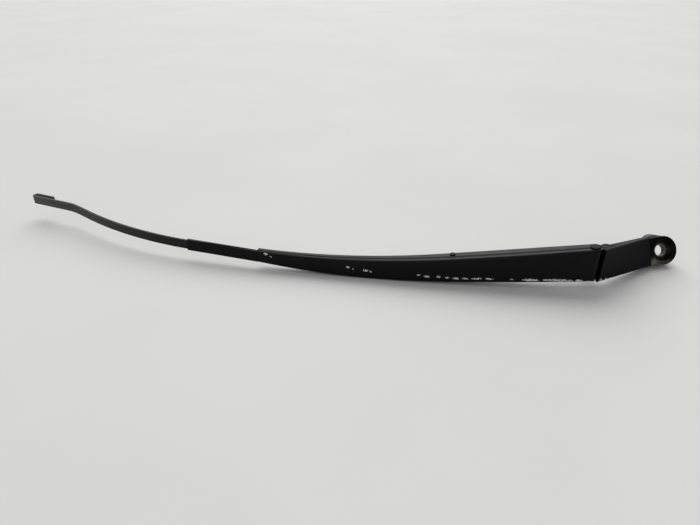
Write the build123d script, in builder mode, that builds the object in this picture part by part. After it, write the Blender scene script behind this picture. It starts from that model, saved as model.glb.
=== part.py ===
from build123d import *
import os
from math import asin, cos, degrees, radians, sin, sqrt, tan

# Wiper arm, free of its spindle and standing on its long edge, in millimetres.
# The origin lies on the spindle axis, inside the bore's straight land. +Y points to the glass side,
# the head runs along -X to the hinge, and Z lies along the hinge pin.

# Spindle boss, its axis leaning out of the hinge's square
spindle_tilt = 29.0
spindle_turn = 15.0
boss_radius = 13.3
boss_front = 10.0
boss_rim = 0.2
boss_edge = 0.8
nut_recess_radius = 10.1
nut_recess_depth = 5.0
bore_radius = 5.4
land_back = 0.5
taper_mouth_radius = 8.8
hub_radius = 11.0
pad_radius = 10.3
pad_along = 4.0
pad_up = 5.5
pad_back = 4.0

# Cast head
step_from_axis = 15.0
step_height = 1.2
face_at_hinge = 14.75
rim_at_hinge = 5.5
head_wall = 3.0
head_edge = 1.5
pocket_from_axis = 17.0

# Hinge
hinge_from_axis = 93.4
hinge_outward = 6.3
hinge_width = 31.5
droop = 27.5
ear_radius = 6.0
hinge_gap = 0.6
knuckle_radius = 4.4
knuckle_side_gap = 1.2
head_nose = 3.6
hinge_pin_radius = 2.5
hinge_pin_head_radius = 4.2
hinge_pin_head_height = 1.3
hinge_pin_peened_radius = 3.3
hinge_pin_peened_height = 0.9
running_gap = 0.05
press_gap = 0.01

# Arm channel, folded from sheet
sheet = 1.2
bend_radius = 2.6
bow_radius = 1787.0
crimp_from_hinge = 294.5
sole_from_hinge = 183.5
sole_radius = 950.0
lower_edge_slope = 3.0
upper_edge_straight = 120.5
upper_edge_at_straight_end = 13.33
deep_from_hinge = 147.5
wall_depth_deep = 11.7
wall_depth_tip = 7.3

# Crimped end of the channel
crimp_length = 69.4
crimp_bend = 2.4
crimp_edge = 1.9
crimp_seam = 3.0

# Blade bar with its hook
bar_width = 9.0
bar_thickness = 2.6
bar_edge = 0.5
bar_rise = 2.1
bar_tail = 6.0
sweep_radius = 350.0
sweep_bend = 21.0
crank_straight = 22.0
hook_bend_radius = 60.0
hook_bend = 16.0
hook_straight = 43.3
hook_inner_radius = 1.3
hook_return = 20.0

# Spring, its link and their pins
link_height = 6.8
link_pin_along = 9.5
link_pin_behind = 8.7
link_pin_radius = 1.75
link_pin_depth = 8.0
link_lug_radius = 4.5
lug_root_along = 15.0
link_lug_cover = 2.0
link_slot = 4.5
link_thickness = 2.5
link_length = 36.0
link_width = 5.0
link_belly = 6.5
link_belly_from = 7.0
link_belly_to = 19.0
link_belly_round = 3.5
link_eye_radius = 3.9
link_tip_radius = 3.3
link_tip_hole = 1.6
anchor_from_hinge = 117.5
anchor_from_edge = 2.9
anchor_pin_radius = 1.75
anchor_head_radius = 2.6
anchor_head_height = 1.0
anchor_peened_height = 0.6
wire_radius = 0.9
coil_radius = 3.6
loop_leg = 2.0
hook_seat_gap = 0.3


# Places worked out from the sizes above

hinge_x = -hinge_from_axis
hinge_y = -hinge_outward
side_plane = Plane(
    origin=(hinge_x, hinge_y, 0),
    x_dir=(-cos(radians(droop)), sin(radians(droop)), 0),
    z_dir=(0, 0, 1),
)
plan_plane = Plane(
    origin=(hinge_x, hinge_y, 0),
    x_dir=side_plane.x_dir,
    z_dir=-side_plane.y_dir,
)
reach = 2 * hinge_from_axis
overrun = ear_radius + bend_radius

# Spindle axis, square to its own plane; boss rim and hub rim stand on one floor
tilt = radians(spindle_tilt)
turn = radians(spindle_turn)
spindle_plane = Plane(
    origin=(0, 0, 0),
    x_dir=(cos(turn), -sin(turn), 0),
    z_dir=(-sin(turn) * cos(tilt), -cos(turn) * cos(tilt), sin(tilt)),
)
hub_back = boss_rim + (boss_radius - hub_radius) / tan(tilt)
floor_z = -boss_radius * cos(tilt) - boss_rim * sin(tilt)

# The channel's lower edge touches the same floor
sole_turn = radians(lower_edge_slope)
sole_start = sole_from_hinge - sole_radius * sin(sole_turn)
sole_start_z = floor_z + sole_radius * (1 - cos(sole_turn))
hinge_low = sole_start_z + sole_start * tan(sole_turn)
hinge_top = hinge_low + hinge_width
hinge_middle = hinge_low + hinge_width / 2
upper_slope = (hinge_top - upper_edge_at_straight_end) / upper_edge_straight
sheath_width = bar_width + 2 * sheet
sheath_thickness = bar_thickness + 2 * sheet
crimp_run = crimp_from_hinge - sole_from_hinge
crimp_low = floor_z + sole_radius - sqrt(sole_radius**2 - crimp_run**2)
crimp_top = crimp_low + sheath_width

# Bowed outer face of the channel, seen along the hinge pin
bow_angle = degrees(asin(crimp_from_hinge / bow_radius))
bow_center = (0, ear_radius - bow_radius)
void_angle = degrees(asin((crimp_from_hinge + ear_radius) / bow_radius))


def on_bow(angle, depth):
    """Point at an angle along the bow, a depth below the outer face."""
    radius = bow_radius - depth
    return (radius * sin(radians(angle)), bow_center[1] + radius * cos(radians(angle)))


deep_angle = degrees(asin(deep_from_hinge / bow_radius))
deep_edge = on_bow(deep_angle, wall_depth_deep)
tip_edge = on_bow(bow_angle, wall_depth_tip)
crimp_face = on_bow(bow_angle, 0)
edge_slope = (deep_edge[1] + ear_radius) / deep_edge[0]
crimp_plane = Plane(
    side_plane.location
    * Pos(crimp_face[0], crimp_face[1], (crimp_low + crimp_top) / 2)
    * Rot(0, 0, -bow_angle - crimp_bend)
    * Rot(0, -bar_rise, 0)
)

# Line of pull from the link pin in the head to the anchor pin in the channel
link_pin_at = Vector(hinge_x + link_pin_along, hinge_y + link_pin_behind, link_height)
anchor_edge = -ear_radius + edge_slope * anchor_from_hinge
anchor_at = side_plane.from_local_coords((anchor_from_hinge, anchor_edge + anchor_from_edge, link_height))
pull_plane = Plane(origin=link_pin_at, x_dir=anchor_at - link_pin_at, z_dir=(0, 0, 1))
pull_length = (anchor_at - link_pin_at).length
anchor_top = hinge_top - upper_slope * anchor_from_hinge
anchor_low = hinge_low - anchor_from_hinge * tan(sole_turn)


# Arm head, one casting twisted between the upright hinge and the leaning boss

head_end_x = hinge_x + head_nose
knuckle_low = hinge_low + sheet + knuckle_side_gap
link_pin_top = link_height + link_slot / 2 + link_pin_depth
face_at_boss = boss_front + step_height
hinge_section = Plane(origin=(head_end_x, 0, 0), x_dir=(0, 1, 0), z_dir=(1, 0, 0))
boss_section = Plane(
    origin=spindle_plane.from_local_coords((-step_from_axis, 0, 0)),
    x_dir=-spindle_plane.z_dir,
    z_dir=spindle_plane.x_dir,
)
with BuildPart() as head_pocket:
    with BuildSketch(hinge_section):
        with Locations((head_wall - face_at_hinge, hinge_middle)):
            Rectangle(2 * face_at_hinge, hinge_width - 2 * head_wall, align=(Align.MIN, Align.CENTER))
    with BuildSketch(boss_section):
        with Locations((head_wall - face_at_boss, 0)):
            Rectangle(2 * face_at_hinge, 2 * (boss_radius - head_wall), align=(Align.MIN, Align.CENTER))
    loft(ruled=True)
    with BuildSketch():
        with Locations((-pocket_from_axis, 0)):
            Rectangle(
                hinge_from_axis - link_pin_along - link_lug_radius - pocket_from_axis,
                reach,
                align=(Align.MAX, Align.CENTER),
            )
    extrude(amount=reach, both=True, mode=Mode.INTERSECT)

with BuildPart() as boss_form:
    with BuildSketch(spindle_plane.offset(-boss_rim)):
        with BuildLine():
            CenterArc((0, 0), boss_radius, 0, 360)
            tongue_end = -step_from_axis - 2 * boss_edge
            Line((tongue_end, head_edge - boss_radius), (tongue_end, boss_radius - head_edge))
        make_hull()
    extrude(amount=boss_front + boss_rim)
    fillet(boss_form.edges().group_by(Axis((0, 0, 0), spindle_plane.z_dir))[-1], boss_edge)

with BuildPart() as arm_head:
    with BuildSketch(hinge_section):
        with Locations((-face_at_hinge, hinge_low)):
            Rectangle(face_at_hinge - rim_at_hinge, hinge_width, align=Align.MIN)
    with BuildSketch(boss_section):
        with Locations((-face_at_boss, 0)):
            Rectangle(face_at_boss, 2 * boss_radius, align=(Align.MIN, Align.CENTER))
    loft(ruled=True)
    fillet(arm_head.edges().sort_by(SortBy.LENGTH)[-4:], head_edge)
    add(boss_form.part)
    with BuildSketch(spindle_plane.offset(boss_front - 2 * boss_edge)):
        Circle(boss_radius - boss_edge / 2)
    with BuildSketch(spindle_plane.offset(-pad_back)):
        with Locations((-pad_along, pad_up)):
            Circle(pad_radius)
    loft()
    add(head_pocket.part, mode=Mode.SUBTRACT)
    # Hollow for the channel's round end, then the knuckle that reaches into the channel
    with BuildSketch():
        with Locations((hinge_x, hinge_y)):
            Circle(ear_radius + hinge_gap)
    extrude(amount=reach, both=True, mode=Mode.SUBTRACT)
    with BuildSketch(mode=Mode.PRIVATE) as web_groove:
        with Locations((hinge_x, hinge_y)):
            Circle(ear_radius + hinge_gap)
            Circle(knuckle_radius, mode=Mode.SUBTRACT)
            Rectangle(reach, reach, align=(Align.CENTER, Align.MIN), mode=Mode.SUBTRACT)
    with BuildSketch(Plane.XY.offset(knuckle_low)):
        with BuildLine():
            CenterArc((hinge_x, hinge_y), knuckle_radius, 0, 360)
            CenterArc((hinge_x + lug_root_along, hinge_y), link_lug_radius, 0, 360)
        make_hull()
        add(web_groove.sketch, mode=Mode.SUBTRACT)
    extrude(amount=hinge_width - 2 * (sheet + knuckle_side_gap))
    with BuildSketch(Plane.XY.offset(knuckle_low)):
        with BuildLine():
            CenterArc((hinge_x, hinge_y), knuckle_radius, 0, 360)
            CenterArc((hinge_x + lug_root_along, hinge_y), link_lug_radius, 0, 360)
            CenterArc((link_pin_at.X, link_pin_at.Y), link_lug_radius, 0, 360)
        make_hull()
        add(web_groove.sketch, mode=Mode.SUBTRACT)
    extrude(amount=link_pin_top + link_lug_cover - knuckle_low)
    # Spindle hub, nut recess and bore
    land_front = boss_front - nut_recess_depth
    with BuildSketch(spindle_plane.offset(-hub_back)):
        Circle(hub_radius)
    extrude(amount=hub_back + land_front)
    with BuildSketch(Plane(origin=(0, 0, 0), x_dir=spindle_plane.x_dir, z_dir=spindle_plane.y_dir)):
        with BuildLine():
            Polyline(
                (0, -boss_front),
                (nut_recess_radius + boss_edge, -boss_front),
                (nut_recess_radius, boss_edge - boss_front),
                (nut_recess_radius, -land_front),
                (bore_radius, -land_front),
                (bore_radius, land_back),
                (taper_mouth_radius, hub_back),
                (0, hub_back),
                close=True,
            )
        make_face()
    revolve(axis=Axis((0, 0, 0), spindle_plane.z_dir), mode=Mode.SUBTRACT)
    # Slot for the link, and the two pin holes
    slot_end = link_pin_at.X + link_eye_radius + link_lug_radius
    knuckle_front = hinge_y - knuckle_radius - hinge_gap / 2
    with BuildSketch(Plane.XY.offset(link_height - link_slot / 2)):
        with BuildLine():
            Polyline(
                (hinge_x - ear_radius, knuckle_front),
                (hinge_x + link_lug_radius, knuckle_front),
                (hinge_x + link_lug_radius, -face_at_hinge + 2 * head_wall),
                (slot_end, -face_at_hinge + 2 * head_wall),
                (slot_end, reach),
                (hinge_x - ear_radius, reach),
                close=True,
            )
        make_face()
    extrude(amount=link_slot, mode=Mode.SUBTRACT)
    with BuildSketch():
        with Locations((hinge_x, hinge_y)):
            Circle(hinge_pin_radius + running_gap)
    extrude(amount=reach, both=True, mode=Mode.SUBTRACT)
    with BuildSketch(Plane.XY.offset(link_pin_top)):
        with Locations((link_pin_at.X, link_pin_at.Y)):
            Circle(link_pin_radius + press_gap)
    extrude(amount=-reach, mode=Mode.SUBTRACT)
arm_head.part.label = "arm_head"


# Arm channel, one folded sheet: a solid form less the same form set in by the sheet

with BuildPart() as channel_form:
    with BuildSketch(plan_plane) as channel_plan:
        with BuildLine():
            upper_edge = Line(
                (-overrun, hinge_top + overrun * upper_slope),
                (upper_edge_straight, upper_edge_at_straight_end),
            )
            upper_arc = TangentArc(upper_edge @ 1, (crimp_from_hinge, crimp_top), tangent=upper_edge % 1)
            lower_arc = ThreePointArc(
                (sole_start, sole_start_z),
                (sole_from_hinge, floor_z),
                (crimp_from_hinge, crimp_low),
            )
            Polyline(
                upper_edge @ 0,
                (-overrun, hinge_low + overrun * tan(sole_turn)),
                (sole_start, sole_start_z),
            )
            Polyline(
                upper_arc @ 1,
                upper_arc @ 1 + overrun * (upper_arc % 1),
                lower_arc @ 1 + overrun * (lower_arc % 1),
                lower_arc @ 1,
            )
        make_face()
    extrude(amount=reach, both=True)
    with BuildSketch(side_plane):
        with BuildLine():
            CenterArc(bow_center, bow_radius, 90, -bow_angle)
            Line(crimp_face, tip_edge)
            back_edge = Line((0, -ear_radius), deep_edge)
            TangentArc(deep_edge, tip_edge, tangent=back_edge % 1)
            Polyline((0, -ear_radius), (-overrun, -ear_radius), (-overrun, ear_radius), (0, ear_radius))
        make_face()
    extrude(amount=reach, both=True, mode=Mode.INTERSECT)
    bowed_face = channel_form.faces().filter_by(GeomType.CYLINDER).sort_by(SortBy.AREA)[-1]
    fillet(bowed_face.edges().filter_by(Axis.Z, reverse=True), bend_radius)

with BuildPart() as channel_void:
    with BuildSketch(plan_plane):
        add(channel_plan.sketch_local)
        offset(amount=-sheet)
    extrude(amount=reach, both=True)
    with BuildSketch(side_plane):
        with BuildLine():
            CenterArc(bow_center, bow_radius - sheet, 90, -void_angle)
            Polyline(
                on_bow(void_angle, sheet),
                on_bow(void_angle, reach),
                (-overrun, -reach),
                (-overrun, ear_radius - sheet),
                (0, ear_radius - sheet),
            )
        make_face()
    extrude(amount=reach, both=True, mode=Mode.INTERSECT)
    bowed_face = channel_void.faces().filter_by(GeomType.CYLINDER).sort_by(SortBy.AREA)[-1]
    fillet(bowed_face.edges().filter_by(Axis.Z, reverse=True), bend_radius - sheet)

with BuildPart() as crimp_form:
    with BuildSketch(crimp_plane):
        Rectangle(crimp_length + sheet, sheath_thickness, align=(Align.MIN, Align.MAX))
    extrude(amount=sheath_width / 2, both=True)
    fillet(crimp_form.edges().filter_by(Axis((0, 0, 0), crimp_plane.x_dir)), crimp_edge)

with BuildPart() as arm_channel:
    add(channel_form.part)
    add(channel_void.part, mode=Mode.SUBTRACT)
    with BuildSketch(side_plane):
        Rectangle(overrun, reach, align=(Align.MAX, Align.CENTER))
        Circle(ear_radius, mode=Mode.SUBTRACT)
    extrude(amount=reach, both=True, mode=Mode.SUBTRACT)
    add(crimp_form.part)
    with BuildSketch(crimp_plane):
        with Locations((-bar_tail, -sheet)):
            Rectangle(reach, bar_thickness, align=(Align.MIN, Align.MAX))
    extrude(amount=bar_width / 2, both=True, mode=Mode.SUBTRACT)
    with BuildSketch(crimp_plane):
        with Locations((-bar_tail, -sheet)):
            Rectangle(reach, sheath_thickness, align=(Align.MIN, Align.MAX))
    extrude(amount=crimp_seam / 2, both=True, mode=Mode.SUBTRACT)
    with BuildSketch(side_plane):
        Circle(hinge_pin_radius + press_gap)
        with Locations((anchor_from_hinge, anchor_edge + anchor_from_edge)):
            Circle(anchor_pin_radius + press_gap)
    extrude(amount=reach, both=True, mode=Mode.SUBTRACT)
arm_channel.part.label = "arm_channel"


# Blade bar, one strip bent to a hook at its end

with BuildPart() as blade_bar:
    bar_depth = sheet + bar_thickness / 2
    with BuildLine(crimp_plane) as bar_path:
        held = Line((-bar_tail, -bar_depth), (crimp_length, -bar_depth))
        swept = JernArc(held @ 1, held % 1, sweep_radius, -sweep_bend)
        crank = Line(swept @ 1, swept @ 1 + crank_straight * (swept % 1))
        raised = JernArc(crank @ 1, crank % 1, hook_bend_radius, hook_bend)
        flat = Line(raised @ 1, raised @ 1 + hook_straight * (raised % 1))
        hook = JernArc(flat @ 1, flat % 1, hook_inner_radius + bar_thickness / 2, -180)
        Line(hook @ 1, hook @ 1 + hook_return * (hook % 1))
    with BuildSketch(Plane(bar_path.line @ 0, x_dir=crimp_plane.z_dir, z_dir=bar_path.line % 0)):
        RectangleRounded(bar_width, bar_thickness, bar_edge)
    sweep()
blade_bar.part.label = "blade_bar"


# Hinge pin, riveted over the channel's ears: its heads bed flat on the sloping walls

upper_wall_out = upper_slope * side_plane.x_dir + side_plane.z_dir
lower_wall_out = -tan(sole_turn) * side_plane.x_dir - side_plane.z_dir
with BuildPart() as hinge_pin:
    with BuildSketch(Plane.XY.offset(hinge_low - hinge_pin_peened_height / 2)):
        with Locations((hinge_x, hinge_y)):
            Circle(hinge_pin_radius)
    extrude(amount=hinge_width + (hinge_pin_peened_height + hinge_pin_head_height) / 2)
    with BuildSketch(Plane(origin=(hinge_x, hinge_y, hinge_top), z_dir=upper_wall_out)):
        Circle(hinge_pin_head_radius)
    extrude(amount=hinge_pin_head_height)
    fillet(hinge_pin.faces().sort_by(Axis.Z)[-1].edges(), hinge_pin_head_height / 2)
    with BuildSketch(Plane(origin=(hinge_x, hinge_y, hinge_low), z_dir=lower_wall_out)):
        Circle(hinge_pin_peened_radius)
    extrude(amount=hinge_pin_peened_height)
    fillet(hinge_pin.faces().sort_by(Axis.Z)[0].edges(), hinge_pin_peened_height / 2)
hinge_pin.part.label = "hinge_pin"


# Anchor pin, riveted across the channel for the spring's end

with BuildPart() as anchor_pin:
    with BuildSketch(Plane.XY.offset(anchor_low - anchor_peened_height / 2)):
        with Locations((anchor_at.X, anchor_at.Y)):
            Circle(anchor_pin_radius)
    extrude(amount=anchor_top - anchor_low + (anchor_peened_height + anchor_head_height) / 2)
    with BuildSketch(Plane(origin=(anchor_at.X, anchor_at.Y, anchor_top), z_dir=upper_wall_out)):
        Circle(anchor_head_radius)
    extrude(amount=anchor_head_height)
    fillet(anchor_pin.faces().sort_by(Axis.Z)[-1].edges(), anchor_head_height / 2)
    with BuildSketch(Plane(origin=(anchor_at.X, anchor_at.Y, anchor_low), z_dir=lower_wall_out)):
        Circle(anchor_head_radius)
    extrude(amount=anchor_peened_height)
    fillet(anchor_pin.faces().sort_by(Axis.Z)[0].edges(), anchor_peened_height / 2)
anchor_pin.part.label = "anchor_pin"


# Link pin, pressed into the head from its lower lug

with BuildPart() as link_pin:
    with BuildSketch(Plane.XY.offset(knuckle_low)):
        with Locations((link_pin_at.X, link_pin_at.Y)):
            Circle(link_pin_radius)
    extrude(amount=link_pin_top - knuckle_low)
link_pin.part.label = "link_pin"


# Spring link, a flat plate bent round the hinge pin's path

with BuildPart() as spring_link:
    with BuildSketch(pull_plane):
        with BuildLine():
            FilletPolyline(
                (0, 0),
                (link_belly_from, -link_belly),
                (link_belly_to, -link_belly),
                (link_length, 0),
                radius=link_belly_round,
            )
        trace(line_width=link_width)
        Circle(link_eye_radius)
        Circle(link_pin_radius + running_gap, mode=Mode.SUBTRACT)
        with Locations((link_length, 0)):
            Circle(link_tip_radius)
            Circle(link_tip_hole, mode=Mode.SUBTRACT)
    extrude(amount=link_thickness / 2, both=True)
spring_link.part.label = "spring_link"


# Tension spring: closed turns, with a half loop and two legs at each end

loop_pull = coil_radius - wire_radius - anchor_pin_radius - hook_seat_gap
coil_start = link_length + coil_radius + loop_leg
coil_end = pull_length - loop_pull - loop_leg
turns = round((coil_end - coil_start) / (2 * wire_radius))
pitch = (coil_end - coil_start) / turns
with BuildPart() as tension_spring:
    with BuildSketch(pull_plane):
        with BuildLine():
            for turn in range(turns):
                near = coil_start + turn * pitch
                ThreePointArc(
                    (near, coil_radius),
                    (near + pitch / 2, coil_radius + wire_radius),
                    (near + pitch, coil_radius),
                )
            Polyline(
                (coil_start, coil_radius),
                (coil_start, coil_radius - wire_radius),
                (coil_end, coil_radius - wire_radius),
                (coil_end, coil_radius),
            )
        make_face()
    revolve(axis=Axis(pull_plane.origin, pull_plane.x_dir))
    for along, across, ahead in (
        (link_length + coil_radius, pull_plane.z_dir, -pull_plane.x_dir),
        (pull_length - loop_pull, pull_plane.y_dir, pull_plane.x_dir),
    ):
        loop_center = pull_plane.from_local_coords((along, 0, 0))
        legs_plane = Plane(loop_center, x_dir=across, z_dir=-ahead)
        with BuildSketch(legs_plane):
            with Locations((coil_radius, 0), (-coil_radius, 0)):
                Circle(wire_radius)
        extrude(amount=loop_leg)
        with BuildSketch(legs_plane):
            with Locations((coil_radius, 0)):
                Circle(wire_radius)
        revolve(axis=Axis(loop_center, across.cross(ahead)), revolution_arc=180)
tension_spring.part.label = "tension_spring"


os.makedirs("parts", exist_ok=True)
export_step(arm_head.part, "parts/arm_head.step")
export_step(arm_channel.part, "parts/arm_channel.step")
export_step(blade_bar.part, "parts/blade_bar.step")
export_step(hinge_pin.part, "parts/hinge_pin.step")
export_step(anchor_pin.part, "parts/anchor_pin.step")
export_step(link_pin.part, "parts/link_pin.step")
export_step(spring_link.part, "parts/spring_link.step")
export_step(tension_spring.part, "parts/tension_spring.step")
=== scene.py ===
import functools
import math

import bmesh
import bpy
from mathutils import Matrix, Vector


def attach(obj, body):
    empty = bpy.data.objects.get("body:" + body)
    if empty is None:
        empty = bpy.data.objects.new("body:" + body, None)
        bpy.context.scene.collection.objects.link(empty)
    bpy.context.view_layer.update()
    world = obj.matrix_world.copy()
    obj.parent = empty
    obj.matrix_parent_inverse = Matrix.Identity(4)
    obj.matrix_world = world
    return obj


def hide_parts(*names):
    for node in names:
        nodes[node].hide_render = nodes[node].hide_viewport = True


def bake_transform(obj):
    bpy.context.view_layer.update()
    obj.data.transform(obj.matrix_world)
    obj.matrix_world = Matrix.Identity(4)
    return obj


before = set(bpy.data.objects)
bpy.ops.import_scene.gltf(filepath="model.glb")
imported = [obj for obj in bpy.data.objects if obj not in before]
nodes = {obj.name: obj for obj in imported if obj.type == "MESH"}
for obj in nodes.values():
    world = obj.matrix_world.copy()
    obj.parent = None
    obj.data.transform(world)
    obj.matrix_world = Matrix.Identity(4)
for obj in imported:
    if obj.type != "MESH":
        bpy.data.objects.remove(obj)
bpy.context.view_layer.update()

MM = 0.001
upright = Vector((0, 0, 1))

# Places and sizes on the arm, as in the solids, in millimetres
floor_height = -11.73
hinge = Vector((-93.4, -6.3, 0))
droop = math.radians(27.5)
along_channel = Vector((-math.cos(droop), math.sin(droop), 0))
out_of_channel = Vector((-math.sin(droop), -math.cos(droop), 0))
face_from_hinge = 6.0
bow_radius = 1787.0
bar_start = Vector((-395, 187, 0))
bar_sweep = math.radians(45)
along_bar = Vector((-math.cos(bar_sweep), math.sin(bar_sweep), 0))
tilt = math.radians(29)
turn = math.radians(15)
spindle_out = Vector((-math.sin(turn) * math.cos(tilt), -math.cos(turn) * math.cos(tilt), math.sin(tilt)))
spindle_across = Vector((math.cos(turn), -math.sin(turn), 0))
spindle_up = spindle_out.cross(spindle_across)
link_pin = Vector((-83.9, 2.4, 6.8))
anchor_pin = Vector((-194.06, 54.801, 6.8))
anchor_pin_radius = 1.75

# The picture's view and the overhead light are both turned this far about the upright
picture_turn = math.radians(-25)


# Shader values and finishes

class Value:
    """One output in a node tree; arithmetic between values adds Math nodes."""

    def __init__(self, maker, socket):
        self.maker = maker
        self.socket = socket

    def math(self, operation, first, second):
        return self.maker.node("ShaderNodeMath", {"operation": operation}, {0: first, 1: second})

    def __add__(self, other):
        return self.math("ADD", self, other)

    def __radd__(self, other):
        return self.math("ADD", other, self)

    def __sub__(self, other):
        return self.math("SUBTRACT", self, other)

    def __rsub__(self, other):
        return self.math("SUBTRACT", other, self)

    def __mul__(self, other):
        return self.math("MULTIPLY", self, other)

    def __rmul__(self, other):
        return self.math("MULTIPLY", other, self)

    def __truediv__(self, other):
        return self.math("DIVIDE", self, other)

    def __pow__(self, other):
        return self.math("POWER", self, other)

    def at_least(self, other):
        return self.math("MAXIMUM", self, other)

    def at_most(self, other):
        return self.math("MINIMUM", self, other)

    def ramp(self, start, end):
        """0 below start, 1 above end, smooth between; start above end turns it round."""
        return self.maker.node(
            "ShaderNodeMapRange",
            {"interpolation_type": "SMOOTHSTEP"},
            {"Value": self, "From Min": start, "From Max": end, "To Min": 0.0, "To Max": 1.0},
        )


def largest(values):
    return functools.reduce(Value.at_least, values)


class NodeMaker:
    """Adds nodes to one node tree."""

    def __init__(self, tree):
        self.tree = tree

    def node(self, kind, settings=None, inputs=None, out=0):
        made = self.tree.nodes.new(kind)
        for key, value in (settings or {}).items():
            setattr(made, key, value)
        for key, value in (inputs or {}).items():
            if isinstance(value, Value):
                self.tree.links.new(value.socket, made.inputs[key])
            else:
                made.inputs[key].default_value = value
        return Value(self, made.outputs[out])


class Finish(NodeMaker):
    """A material with a Principled shader, built from nodes."""

    def __init__(self, name, **constants):
        self.material = bpy.data.materials.new(name)
        self.material.use_nodes = True
        super().__init__(self.material.node_tree)
        self.shader = self.tree.nodes["Principled BSDF"]
        for socket, value in constants.items():
            self.shader.inputs[socket.replace("_", " ")].default_value = value
        self.place = self.node("ShaderNodeTexCoord", out="Object")
        self.normal = self.node("ShaderNodeTexCoord", out="Normal")

    def feed(self, **values):
        for socket, value in values.items():
            self.tree.links.new(value.socket, self.shader.inputs[socket.replace("_", " ")])

    def vector(self, operation, *operands, out="Vector"):
        return self.node("ShaderNodeVectorMath", {"operation": operation}, dict(enumerate(operands)), out)

    def noise(self, scale, detail=4.0, rough=0.55, at=None, out="Fac"):
        return self.node(
            "ShaderNodeTexNoise",
            inputs={"Vector": at or self.place, "Scale": scale, "Detail": detail, "Roughness": rough},
            out=out,
        )

    def stretched(self, size, turned):
        """Place divided by a size in millimetres on each axis, after turning about the upright."""
        return self.node(
            "ShaderNodeMapping",
            {"vector_type": "TEXTURE"},
            {"Vector": self.place, "Scale": Vector(size) * MM, "Rotation": (0, 0, turned)},
        )

    def along(self, direction, start=(0, 0, 0), of=None):
        """Distance along a direction from a start, in millimetres."""
        from_start = self.vector("SUBTRACT", of or self.place, Vector(start) * MM)
        return self.vector("DOT_PRODUCT", from_start, direction / MM, out="Value")

    def away(self, spot):
        """Distance from a spot, in millimetres."""
        return self.vector("DISTANCE", self.place, Vector(spot) * MM, out="Value") / MM

    def facing(self, direction):
        return self.vector("DOT_PRODUCT", self.normal, direction, out="Value")

    def blend(self, share, low, high):
        """Colour between low and high by a share."""
        low = low if isinstance(low, Value) else (*low, 1)
        high = high if isinstance(high, Value) else (*high, 1)
        return self.node("ShaderNodeMix", {"data_type": "RGBA"}, {0: share, 6: low, 7: high}, 2)

    def bump(self, height, strength, distance):
        """Shading of a relief that is as deep as a distance in millimetres."""
        sockets = {"Strength": strength, "Distance": distance * MM, "Height": height}
        return self.node("ShaderNodeBump", inputs=sockets, out="Normal")

    def put_on(self, *names):
        for name in names:
            held = nodes[name].data.materials
            held.clear()
            held.append(self.material)


# Paint on the folded channel, chipped along its lower edge

# Chips: along the channel from the hinge, height, half length, half height
channel_chips = (
    (285.5, 4.4, 2.2, 0.9),
    (280.8, 2.6, 1.4, 0.7),
    (209.5, -0.8, 1.8, 1.1),
    (205.0, -2.2, 0.9, 0.5),
    (193.8, -2.7, 2.4, 1.1),
    (189.0, -3.6, 1.0, 0.6),
    (146.8, -3.4, 1.6, 0.8),
    (139.7, -4.4, 2.4, 0.9),
    (129.3, -4.1, 1.8, 0.9),
    (121.5, -4.2, 1.7, 0.8),
    (114.5, -4.6, 3.0, 1.0),
    (106.0, -4.2, 3.2, 0.9),
    (96.4, -3.8, 4.8, 0.9),
    (85.5, -3.2, 3.6, 0.9),
    (66.5, -2.9, 1.6, 0.6),
    (50.4, -2.75, 7.6, 1.3),
    (27.0, -2.2, 13.6, 1.4),
    (9.3, -1.9, 3.4, 1.1),
    (1.5, -2.3, 2.4, 0.6),
)


def channel_chipping(paint):
    """Ragged chips on the channel's front."""
    wander = Vector((2.4, 2.4, 2.4)) * MM
    shifted = paint.vector("MULTIPLY_ADD", paint.noise(420, 3, out="Color"), wander, paint.place)
    wandering = paint.vector("SUBTRACT", shifted, wander / 2)
    run = paint.along(along_channel, hinge, wandering)
    rise = paint.along(upright, of=wandering)
    chips = []
    for middle, height, half_length, half_height in channel_chips:
        across = (run - middle) / half_length
        up = (rise - height) / half_height
        chips.append((across * across + up * up).ramp(1.1, 0.75))
    ragged = paint.noise(1250, 4, 0.75).ramp(0.45, 0.51)
    front = paint.facing(out_of_channel).ramp(0.05, 0.25)
    return largest(chips) * ragged * front


def wall_crease(paint):
    """Shallow crease half-way down the walls, which grow narrower towards the crimp."""
    wall_depth = 11.8
    narrows_from = 147
    narrowing = 0.03
    run = paint.along(along_channel, hinge)
    depth = face_from_hinge - run * run / (2 * bow_radius) - paint.along(out_of_channel, hinge)
    wall = wall_depth - (run - narrows_from).at_least(0) * narrowing
    return (depth / wall).ramp(0.34, 0.66)


def channel_paint():
    deep_black = (0.0026, 0.0026, 0.0028)
    handled_black = (0.0042, 0.0042, 0.0044)
    dust_grey = (0.09, 0.088, 0.082)
    bare_metal = (0.62, 0.61, 0.59)
    bright_metal = (0.93, 0.92, 0.9)
    paint = Finish("channel_paint", IOR=1.45, Specular_IOR_Level=0.12)
    bare = channel_chipping(paint)
    speck = paint.noise(2600, 2).ramp(0.35, 0.55)
    # Fine scratches and handling marks along the face
    streak = paint.noise(1, 3, 0.6, paint.stretched((60, 3, 2.5), math.pi - droop))
    smear = paint.noise(38, 4, 0.6).ramp(0.35, 0.75)
    dust = paint.facing(upright).ramp(0.5, 0.95) * paint.noise(700, 5, 0.7).ramp(0.4, 0.8)
    dark = paint.blend(smear * 0.6, deep_black, handled_black)
    dusty = paint.blend(dust * 0.25, dark, dust_grey)
    metal = paint.blend(speck, bare_metal, bright_metal)
    paint.feed(
        Base_Color=paint.blend(bare, dusty, metal),
        Roughness=0.27 + smear * 0.12 + streak * 0.08 + bare * 0.25,
        Normal=paint.bump(wall_crease(paint) * 0.9 + paint.noise(1500, 2) * 0.005 - bare * 0.04, 1.0, 1.0),
    )
    return paint


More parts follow.
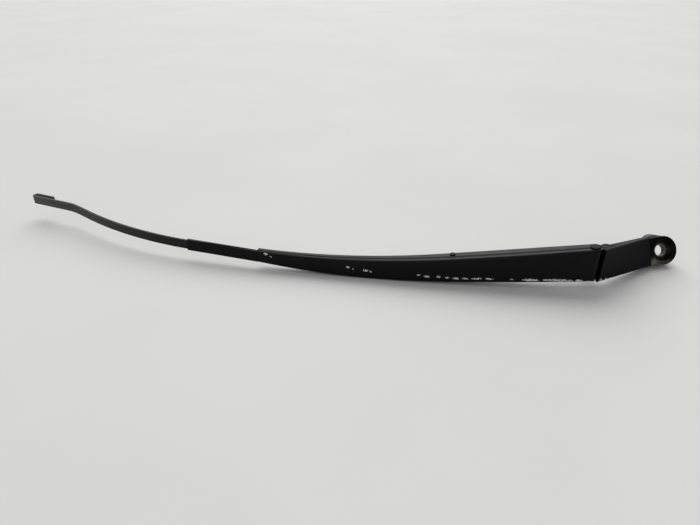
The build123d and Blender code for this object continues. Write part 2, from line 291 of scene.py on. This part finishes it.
channel_paint().put_on("arm_channel")


# Paint on the cast head: bare bore, dark recess, dirt on the boss's lower rim, and a painted highlight on
# the head's top side

# Chips: place and radius
head_chips = (
    ((-47.9, -10.7, 6.3), 0.5),
    ((-29.5, -12.2, -6.5), 1.3),
    ((-87.0, -14.6, -1.6), 1.9),
    ((-80.0, -14.3, -2.7), 1.6),
    ((-74.0, -13.9, -3.6), 1.3),
)


def land_line(depth):
    """Dark ring round the bore's land."""
    return depth.ramp(0.9, 1.3) * depth.ramp(2.6, 2.2)


def head_paint():
    deep_black = (0.0014, 0.0014, 0.0022)
    handled_black = (0.0026, 0.0026, 0.0036)
    recess_black = (0.009, 0.0085, 0.008)
    soil_brown = (0.085, 0.072, 0.056)
    dried_soil = (0.15, 0.138, 0.12)
    dust_grey = (0.19, 0.185, 0.19)
    chip_metal = (0.42, 0.41, 0.39)
    seat_metal = (0.1, 0.096, 0.09)
    bore_grey = (0.14, 0.134, 0.125)
    paint = Finish("head_paint", IOR=1.2, Specular_IOR_Level=0.15)
    depth = paint.along(spindle_out)
    across = paint.along(spindle_across)
    up = paint.along(spindle_up)
    radius = (across * across + up * up) ** 0.5
    bore = radius.ramp(5.75, 5.55) * depth.ramp(5.2, 5.0)
    seat = radius.ramp(6.7, 6.3) * depth.ramp(5.6, 5.2) * depth.ramp(4.6, 4.9)
    recess = radius.ramp(10.6, 10.2) * depth.ramp(4.0, 4.8) * (1 - bore)
    # Painted highlight: the upper side of the head is lightened smoothly towards the dust grey
    painted_top_highlight = depth.ramp(3.5, -2.0) * up.ramp(10.5, 13.5)
    grain = paint.noise(900, 5, 0.65)
    blot = paint.noise(160, 4, 0.6).ramp(0.42, 0.66)
    rim_soil = up.ramp(-7.5, -12.0) * radius.ramp(9.5, 10.4) * radius.ramp(14.6, 13.6)
    soil = rim_soil * paint.noise(520, 4, 0.65).ramp(0.36, 0.6) + recess * 0.35 * blot
    # A pale tongue of dried dirt on the rim's lower left
    rim = radius.ramp(10.8, 11.3) * depth.ramp(10.6, 10.2) * depth.ramp(9.2, 9.7)
    tongue = across.ramp(-3.5, -7.0) * up.ramp(-4.0, -9.5) * rim * blot.ramp(-0.4, 0.5)
    dust = paint.facing(upright).ramp(0.72, 0.96) * paint.noise(420, 5, 0.7).ramp(0.38, 0.72)
    ragged = (grain - 0.5) * 1.6
    chips = largest([(paint.away(spot) + ragged).ramp(size, size * 0.7) for spot, size in head_chips])
    bared = bore * (1 - land_line(depth) * 0.85)
    dark = paint.blend(paint.noise(60, 3).ramp(0.4, 0.7), deep_black, handled_black)
    inner = paint.blend(recess, dark, recess_black)
    soiled = paint.blend(soil.at_most(1.0), inner, soil_brown)
    crusted = paint.blend(tongue, soiled, dried_soil)
    # Real dust on upward faces, plus the painted highlight on the head's top side
    dusty = paint.blend(dust * 0.3 + painted_top_highlight * 0.75, crusted, dust_grey)
    chipped = paint.blend(chips, dusty, chip_metal)
    seated = paint.blend(seat * grain.ramp(0.4, 0.55), chipped, seat_metal)
    paint.feed(
        Base_Color=paint.blend(bared, seated, bore_grey),
        Metallic=(bared + seat * 0.6).at_most(1.0),
        Roughness=0.34 + grain * 0.14 + soil * 0.3 + chips * 0.2,
        Normal=paint.bump(grain * 0.5 - chips - soil * 0.2, 0.3, 0.15),
    )
    return paint


head_paint().put_on("arm_head")


# Satin bar, worn lighter towards the hook

def bar_paint():
    paint = Finish("bar_paint", IOR=1.4, Specular_IOR_Level=0.3)
    outward = paint.along(along_bar, bar_start)
    worn = outward.ramp(20, 190)
    tip = outward.ramp(168, 232)
    grain = paint.noise(1100, 5, 0.65)
    blot = paint.noise(90, 4, 0.6).ramp(0.38, 0.68)
    rub = paint.noise(1, 4, 0.65, paint.stretched((50, 4, 3), math.pi - bar_sweep)).ramp(0.4, 0.7)
    dark = paint.blend(blot, (0.0035, 0.004, 0.004), (0.0065, 0.0072, 0.007))
    grey = paint.blend(rub, (0.05, 0.053, 0.047), (0.082, 0.085, 0.076))
    brown = paint.blend(grain.ramp(0.35, 0.65), (0.085, 0.079, 0.067), (0.14, 0.132, 0.115))
    paint.feed(
        Base_Color=paint.blend(tip * 0.75, paint.blend(worn, dark, grey), brown),
        Roughness=0.46 + grain * 0.16 + worn * 0.06,
        Normal=paint.bump(grain + rub * 0.5, 0.25, 0.12),
    )
    return paint


bar_paint().put_on("blade_bar")


# Painted rivet heads, and the metals inside

def rivet_paint():
    paint = Finish("rivet_paint", Specular_IOR_Level=0.1)
    grain = paint.noise(1300, 4, 0.6)
    rubbed = paint.noise(380, 4, 0.6).ramp(0.5, 0.7)
    paint.feed(
        Base_Color=paint.blend(rubbed * 0.4, (0.003, 0.003, 0.0032), (0.03, 0.03, 0.029)),
        Roughness=0.45 + grain * 0.2,
        Normal=paint.bump(grain, 0.2, 0.1),
    )
    return paint


def plated_steel():
    steel = Finish("plated_steel")
    grain = steel.noise(1600, 4, 0.6)
    grime = steel.noise(210, 5, 0.65).ramp(0.42, 0.7)
    steel.feed(
        Base_Color=steel.blend(grime, (0.36, 0.35, 0.32), (0.1, 0.085, 0.065)),
        Metallic=1 - grime * 0.6,
        Roughness=0.34 + grain * 0.15 + grime * 0.25,
        Normal=steel.bump(grain, 0.2, 0.1),
    )
    return steel


def spring_wire():
    wire = Finish("spring_wire")
    grain = wire.noise(1500, 4, 0.6)
    oil = wire.noise(140, 4, 0.6).ramp(0.38, 0.7)
    wire.feed(
        Base_Color=wire.blend(oil, (0.17, 0.165, 0.16), (0.045, 0.04, 0.034)),
        Metallic=1 - oil * 0.4,
        Roughness=0.3 + grain * 0.15,
        Normal=wire.bump(grain, 0.15, 0.1),
    )
    return wire


def bore_metal():
    metal = Finish("bore_metal")
    line = land_line(metal.along(spindle_out))
    grime = metal.noise(600, 4, 0.6).ramp(0.45, 0.7)
    # Darker ring on the bore's land, with random grime on top
    dark_ring_and_grime = (line + grime * 0.4).at_most(1.0)
    metal.feed(
        Base_Color=metal.blend(dark_ring_and_grime, (0.085, 0.082, 0.077), (0.012, 0.011, 0.01)),
        Metallic=1 - line * 0.8,
        Roughness=0.3 + grime * 0.25,
        Normal=metal.bump(grime, 0.2, 0.1),
    )
    return metal


rivet_paint().put_on("hinge_pin", "anchor_pin")
plated_steel().put_on("link_pin", "spring_link")


# New pieces, drawn in millimetres

def finished_piece(name, shape, finish):
    mesh = bpy.data.meshes.new(name)
    bmesh.ops.remove_doubles(shape, verts=shape.verts, dist=1e-7)
    bmesh.ops.recalc_face_normals(shape, faces=shape.faces)
    shape.to_mesh(mesh)
    shape.free()
    mesh.transform(Matrix.Scale(MM, 4))
    for face in mesh.polygons:
        face.use_smooth = True
    mesh.materials.append(finish.material)
    piece = bpy.data.objects.new(name, mesh)
    bpy.context.scene.collection.objects.link(piece)
    return piece


def rim_of(circle):
    """Edges of a circle just made, each once."""
    return list(dict.fromkeys(edge for vert in circle["verts"] for edge in vert.link_edges))


def spin_rim(shape, rim, middle, axis, angle, steps, advance=Vector()):
    bmesh.ops.spin(
        shape, geom=rim, cent=middle, axis=axis, dvec=advance, angle=angle, steps=steps,
        use_merge=False, use_normal_flip=False, use_duplicate=False,
    )


def draw_out_rim(shape, rim, way):
    drawn = bmesh.ops.extrude_edge_only(shape, edges=rim)
    verts = [item for item in drawn["geom"] if isinstance(item, bmesh.types.BMVert)]
    bmesh.ops.translate(shape, verts=verts, vec=way)


def wound_spring():
    """Closed-wound wire with a half loop at each end, between link and anchor pin."""
    wire_radius = 0.9
    wire_sides = 9
    coil_radius = 3.6
    turns = 43
    turn_steps = 18
    loop_steps = 16
    loop_leg = 2.0
    loop_gap = 0.3
    link_length = 36.0
    blend_margin = 1.0
    pull = (anchor_pin - link_pin).normalized()
    side = upright.cross(pull)
    past_anchor = coil_radius - wire_radius - anchor_pin_radius - loop_gap
    near = link_length + coil_radius + loop_leg
    far = (anchor_pin - link_pin).length - past_anchor - loop_leg
    shape = bmesh.new()

    def wire_end(place, normal):
        turned = normal.to_track_quat("Z", "Y").to_matrix().to_4x4()
        at = Matrix.Translation(place) @ turned
        return rim_of(bmesh.ops.create_circle(shape, segments=wire_sides, radius=wire_radius, matrix=at))

    start = link_pin + pull * near
    steps = turns * turn_steps
    coil = wire_end(start + upright * coil_radius, side)
    spin_rim(shape, coil, start, pull, math.tau * turns, steps, pull * ((far - near) / steps))
    for along, across, ahead in ((near - loop_leg, upright, -pull), (far + loop_leg, side, pull)):
        middle = link_pin + pull * along
        loop = wire_end(middle + across * coil_radius, ahead)
        spin_rim(shape, loop, middle, across.cross(ahead), math.pi, loop_steps)
        for hand in (1, -1):
            leg = wire_end(middle + across * coil_radius * hand, ahead)
            draw_out_rim(shape, leg, -ahead * (loop_leg + wire_radius))
    open_edges = [edge for edge in shape.edges if edge.is_boundary]
    bmesh.ops.holes_fill(shape, edges=open_edges, sides=12)
    piece = finished_piece("wound_spring", shape, spring_wire())
    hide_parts("tension_spring")
    blend_end = (link_pin + pull * (far + blend_margin)) * MM
    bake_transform(piece)


def bore_teeth():
    """Fine teeth on the bore's straight land."""
    teeth = 60
    root_radius = 5.39
    tip_share = 0.965
    land_start = -0.3
    land_length = 4.9
    shape = bmesh.new()
    circle = bmesh.ops.create_circle(shape, segments=2 * teeth, radius=root_radius)
    for vert in circle["verts"][1::2]:
        vert.co *= tip_share
    draw_out_rim(shape, rim_of(circle), (0, 0, land_length))
    bmesh.ops.translate(shape, verts=shape.verts, vec=(0, 0, land_start))
    facing = Matrix((spindle_across, spindle_up, spindle_out)).transposed()
    bmesh.ops.transform(shape, matrix=facing.to_4x4(), verts=shape.verts)
    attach(finished_piece("bore_teeth", shape, bore_metal()), "head")


wound_spring()
bore_teeth()


# Floor, light and camera, in metres

def floor_sheet():
    half_size = 6
    shape = bmesh.new()
    bmesh.ops.create_grid(shape, x_segments=1, y_segments=1, size=half_size)
    mesh = bpy.data.meshes.new("floor")
    shape.to_mesh(mesh)
    shape.free()
    mesh.transform(Matrix.Translation((0, 0, floor_height * MM)))
    card = Finish("floor_card", Roughness=0.7, Specular_IOR_Level=0.2)
    tone = card.noise(3, 3).ramp(0.3, 0.7)
    card.feed(Base_Color=card.blend(tone, (0.74, 0.735, 0.725), (0.77, 0.765, 0.755)))
    mesh.materials.append(card.material)
    floor = bpy.data.objects.new("floor", mesh)
    bpy.context.scene.collection.objects.link(floor)


def soft_light():
    world = bpy.data.worlds.new("soft_box")
    bpy.context.scene.world = world
    world.use_nodes = True
    sky = NodeMaker(world.node_tree)
    light = sky.node("ShaderNodeBackground", inputs={"Color": (0.98, 0.99, 1.0, 1), "Strength": 0.44})
    # The camera and shiny metal see a backdrop as light as the floor
    backdrop = sky.node("ShaderNodeBackground", inputs={"Color": (0.7, 0.7, 0.69, 1)})
    rays = ("Is Camera Ray", "Is Glossy Ray", "Is Transmission Ray")
    seen = largest([sky.node("ShaderNodeLightPath", out=ray) for ray in rays])
    either = sky.node("ShaderNodeMixShader", inputs={0: seen, 1: light, 2: backdrop})
    sky.tree.links.new(either.socket, sky.tree.nodes["World Output"].inputs["Surface"])
    sky.tree.nodes.remove(sky.tree.nodes["Background"])
    lamp = bpy.data.lights.new("overhead", "SUN")
    lamp.energy = 2.05
    lamp.angle = math.radians(60)
    overhead = bpy.data.objects.new("overhead", lamp)
    overhead.rotation_euler = (math.radians(-45), 0, picture_turn)
    bpy.context.scene.collection.objects.link(overhead)


def picture_camera():
    below_level = math.radians(30.7)
    lens = bpy.data.cameras.new("picture")
    lens.sensor_width = 36
    lens.lens = 27.05
    lens.shift_x = -0.0007
    lens.shift_y = 0.0007
    camera = bpy.data.objects.new("picture", lens)
    camera.location = (-0.4449, -0.2707, 0.24327)
    camera.rotation_euler = (math.pi / 2 - below_level, 0, picture_turn)
    bpy.context.scene.collection.objects.link(camera)
    bpy.context.scene.camera = camera


floor_sheet()
soft_light()
picture_camera()
bpy.context.scene.view_settings.view_transform = "Standard"
